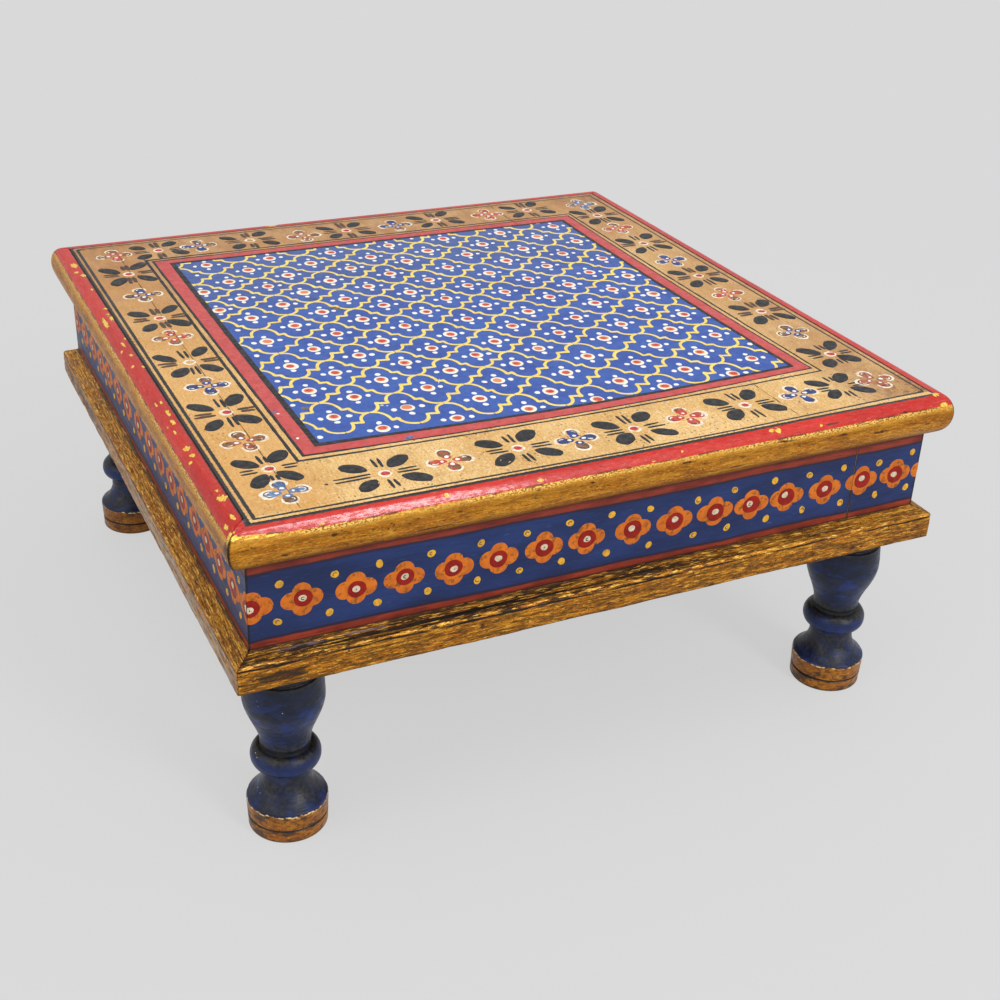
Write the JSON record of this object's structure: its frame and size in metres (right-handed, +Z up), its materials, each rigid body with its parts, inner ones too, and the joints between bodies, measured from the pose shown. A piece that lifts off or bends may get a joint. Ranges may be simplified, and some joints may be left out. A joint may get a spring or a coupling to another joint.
{
  "type": "low table",
  "caption": "Low square folk table: painted board top with a half-round edge, apron box with a base moulding, and turned vase-shaped legs.",
  "frame": {"origin": "on the floor, under the middle of the table top", "axes": "+Z up, the front apron faces -Y, +X to the right seen from the front"},
  "size_m": [0.381, 0.381, 0.182],
  "materials": {
    "top_paint": "satin ochre ground with painted borders and a blue lattice field",
    "edging_paint": "satin red above worn gold",
    "apron_paint": "satin navy with an orange flower band",
    "moulding_paint": "worn gold with dark streaks",
    "leg_paint": "satin navy with a gold foot band",
    "bare_wood": "sawn",
    "steel": "drawn wire"
  },
  "bodies": {
    "root": {"top_board_left": "top_paint", "top_board_center": "top_paint", "top_board_right": "top_paint", "top_edging_front": "edging_paint", "top_edging_right": "edging_paint", "top_edging_back": "edging_paint", "top_edging_left": "edging_paint", "apron_front": "apron_paint", "apron_right": "apron_paint", "apron_back": "apron_paint", "apron_left": "apron_paint", "base_moulding_front": "moulding_paint", "base_moulding_right": "moulding_paint", "base_moulding_back": "moulding_paint", "base_moulding_left": "moulding_paint", "post_front_left": "apron_paint", "post_front_right": "apron_paint", "post_back_right": "apron_paint", "post_back_left": "apron_paint", "leg_front_left": "leg_paint", "leg_front_right": "leg_paint", "leg_back_right": "leg_paint", "leg_back_left": "leg_paint", "top_batten_front": "bare_wood", "top_batten_back": "bare_wood", "top_nail_front_1": "steel", "top_nail_front_2": "steel", "top_nail_right_1": "steel", "top_nail_right_2": "steel", "top_nail_back_1": "steel", "top_nail_back_2": "steel", "top_nail_left_1": "steel", "top_nail_left_2": "steel", "edging_brad_front_1": "steel", "edging_brad_front_2": "steel", "edging_brad_right_1": "steel", "edging_brad_right_2": "steel", "edging_brad_back_1": "steel", "edging_brad_back_2": "steel", "edging_brad_left_1": "steel", "edging_brad_left_2": "steel", "moulding_brad_front_1": "steel", "moulding_brad_front_2": "steel", "moulding_brad_right_1": "steel", "moulding_brad_right_2": "steel", "moulding_brad_back_1": "steel", "moulding_brad_back_2": "steel", "moulding_brad_left_1": "steel", "moulding_brad_left_2": "steel", "batten_screw_front_1": "steel", "batten_screw_front_2": "steel", "batten_screw_front_3": "steel", "batten_screw_back_1": "steel", "batten_screw_back_2": "steel", "batten_screw_back_3": "steel"}
  },
  "joints": []
}
